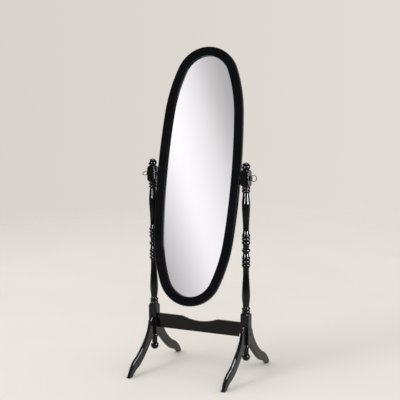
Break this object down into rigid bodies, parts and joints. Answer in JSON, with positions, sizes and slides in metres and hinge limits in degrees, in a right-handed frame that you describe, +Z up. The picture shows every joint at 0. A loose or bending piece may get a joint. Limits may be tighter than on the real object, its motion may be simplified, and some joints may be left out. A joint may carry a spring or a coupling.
{
  "type": "cheval mirror",
  "caption": "Free-standing oval dressing mirror that tilts between turned posts on curved sabre legs, joined by a shaped stretcher and held by ring-headed pivot screws.",
  "frame": {"origin": "on the floor, midway between the post axes", "axes": "+X from the left post to the right post, +Z up, -Y the side that the glass faces"},
  "size_m": [0.5822, 0.5188, 1.5007],
  "materials": {
    "lacquered_turning": "gloss black lacquer over turned wood",
    "lacquered_board": "gloss black lacquer over sawn and rounded boards",
    "lacquered_frame": "gloss black lacquer over a moulded frame",
    "silvered_glass": "silvered, polished",
    "felt": "matte felt sheet",
    "hardboard": "matte brown hardboard",
    "bare_wood": "unfinished beech",
    "blackened_steel": "satin black",
    "zinc_steel": "zinc plated",
    "nickel": "bright nickel plate",
    "dark_plastic": "matte"
  },
  "bodies": {
    "stand": {"left_post": "lacquered_turning", "right_post": "lacquered_turning", "front_left_leg": "lacquered_board", "front_right_leg": "lacquered_board", "back_left_leg": "lacquered_board", "back_right_leg": "lacquered_board", "stretcher": "lacquered_board", "leg_dowels": "bare_wood", "stretcher_dowels": "bare_wood", "stretcher_bolts": "blackened_steel", "barrel_nuts": "zinc_steel", "front_left_glide": "dark_plastic", "front_right_glide": "dark_plastic", "back_left_glide": "dark_plastic", "back_right_glide": "dark_plastic"},
    "mirror": {"mirror_frame": "lacquered_frame", "mirror_glass": "silvered_glass", "glass_cushion": "felt", "backing_board": "hardboard", "backing_screws": "zinc_steel", "left_insert": "zinc_steel", "right_insert": "zinc_steel", "left_spacer": "dark_plastic", "right_spacer": "dark_plastic"},
    "left_loose_washer": {"left_washer": "blackened_steel"},
    "left_screw": {"left_collar": "dark_plastic", "left_ring_screw": "nickel"},
    "right_loose_washer": {"right_washer": "blackened_steel"},
    "right_screw": {"right_collar": "dark_plastic", "right_ring_screw": "nickel"}
  },
  "joints": [
    {"name": "mirror_tilt", "type": "hinge", "parent": "stand", "child": "mirror", "pos_m": [0, 0, 0.916], "axis": [1, 0, 0], "continuous": true},
    {"name": "left_screw_travel", "type": "slide", "parent": "mirror", "child": "left_loose_washer", "axis": [-1, 0, 0], "range_m": [0, 0.002]},
    {"name": "left_screw_turn", "type": "hinge", "parent": "left_loose_washer", "child": "left_screw", "pos_m": [-0.258, 0, 0.916], "axis": [-1, 0, 0], "range_deg": [0, 720]},
    {"name": "right_screw_travel", "type": "slide", "parent": "mirror", "child": "right_loose_washer", "axis": [1, 0, 0], "range_m": [0, 0.002]},
    {"name": "right_screw_turn", "type": "hinge", "parent": "right_loose_washer", "child": "right_screw", "pos_m": [0.258, 0, 0.916], "axis": [1, 0, 0], "range_deg": [0, 720]}
  ],
  "couplings": [
    {"joint": "left_screw_turn", "follows": "left_screw_travel", "rad_per_m": 6283.2},
    {"joint": "right_screw_turn", "follows": "right_screw_travel", "rad_per_m": 6283.2}
  ]
}
